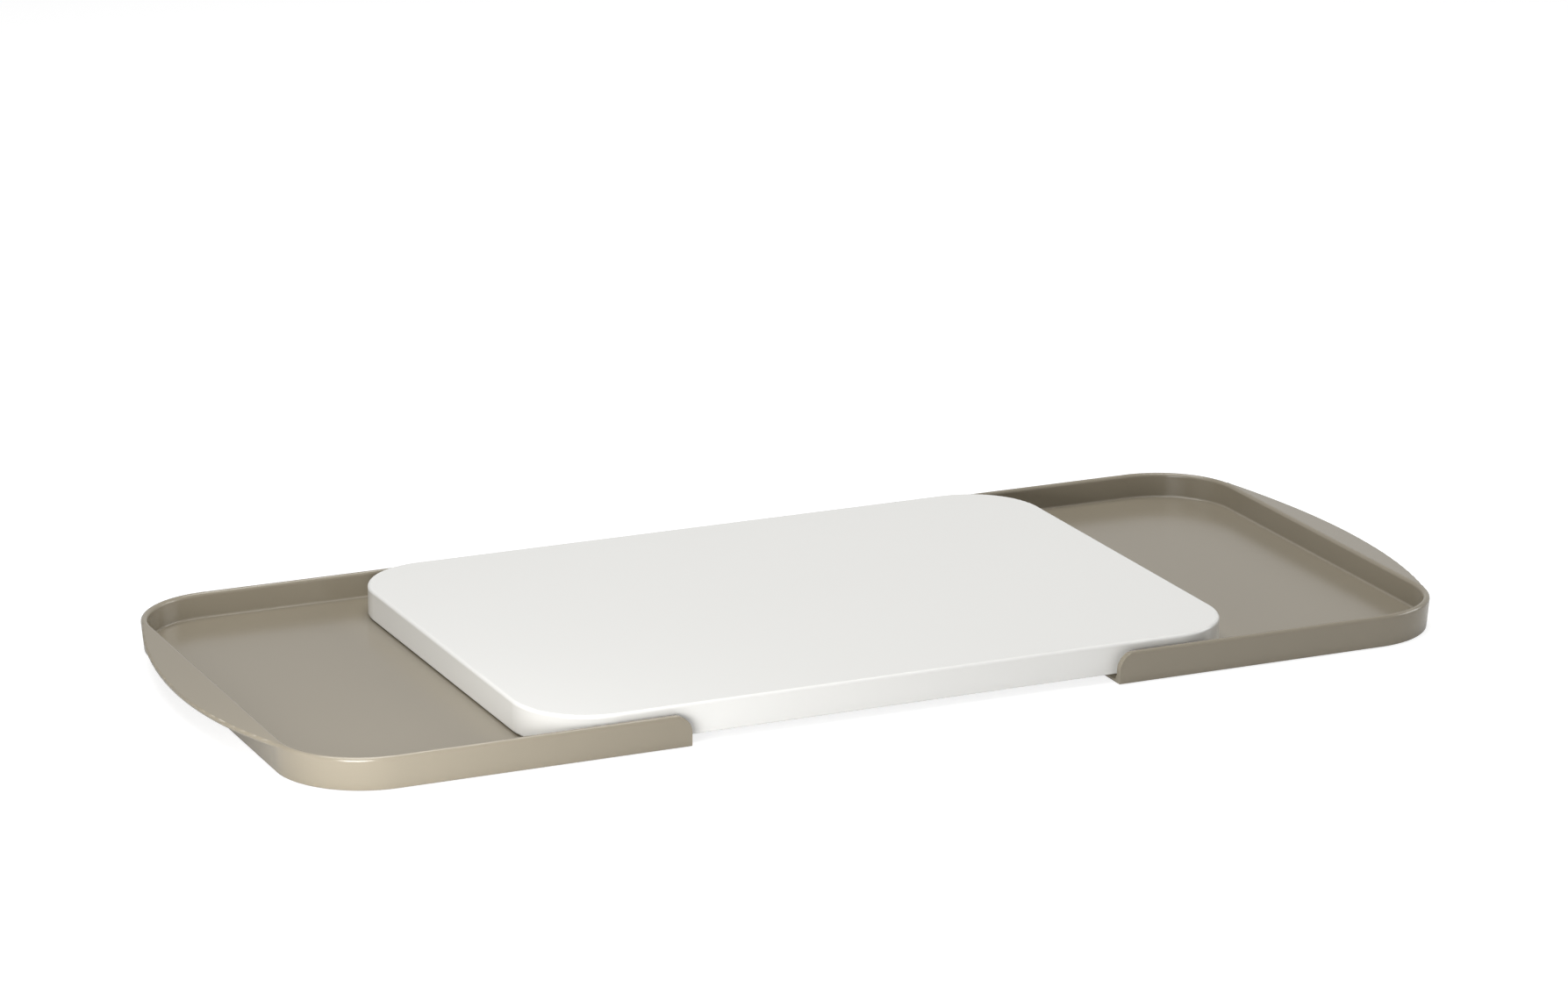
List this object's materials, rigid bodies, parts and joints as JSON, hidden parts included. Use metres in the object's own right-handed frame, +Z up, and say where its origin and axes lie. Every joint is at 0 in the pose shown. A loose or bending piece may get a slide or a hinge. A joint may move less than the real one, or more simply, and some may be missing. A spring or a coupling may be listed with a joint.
{
  "type": "cutting board with drawer trays",
  "caption": "Flat rounded chopping board over shallow drawer trays that slide out from under each end, each with a curved sloping lip as its handle.",
  "frame": {"origin": "on the table, under the middle of the board", "axes": "+X along the board towards the right-hand tray, +Y towards the rear, +Z up"},
  "size_m": [0.6032, 0.2624, 0.0183],
  "materials": {
    "board_plastic": "white, satin",
    "tray_plastic": "taupe, satin moulded",
    "rail_plastic": "pale grey, moulded",
    "slider_plastic": "natural white, low-friction",
    "foot_rubber": "dark grey, matt",
    "screw_steel": "plain stainless"
  },
  "bodies": {
    "board": {"cutting_board": "board_plastic", "front_guide_rail": "rail_plastic", "rear_guide_rail": "rail_plastic", "front_centre_stop": "rail_plastic", "rear_centre_stop": "rail_plastic", "right_front_buffer": "foot_rubber", "right_rear_buffer": "foot_rubber", "left_front_buffer": "foot_rubber", "left_rear_buffer": "foot_rubber", "rail_screws": "screw_steel"},
    "left_drawer": {"left_tray": "tray_plastic", "left_front_slider": "slider_plastic", "left_rear_slider": "slider_plastic", "left_slider_screws": "screw_steel", "left_front_outer_foot": "foot_rubber", "left_rear_outer_foot": "foot_rubber", "left_front_inner_foot": "foot_rubber", "left_rear_inner_foot": "foot_rubber"},
    "right_drawer": {"right_tray": "tray_plastic", "right_front_slider": "slider_plastic", "right_rear_slider": "slider_plastic", "right_slider_screws": "screw_steel", "right_front_outer_foot": "foot_rubber", "right_rear_outer_foot": "foot_rubber", "right_front_inner_foot": "foot_rubber", "right_rear_inner_foot": "foot_rubber"}
  },
  "joints": [
    {"name": "left_tray_slide", "type": "slide", "parent": "board", "child": "left_drawer", "axis": [1, 0, 0], "range_m": [0, 0.106]},
    {"name": "right_tray_slide", "type": "slide", "parent": "board", "child": "right_drawer", "axis": [-1, 0, 0], "range_m": [0, 0.106]}
  ]
}
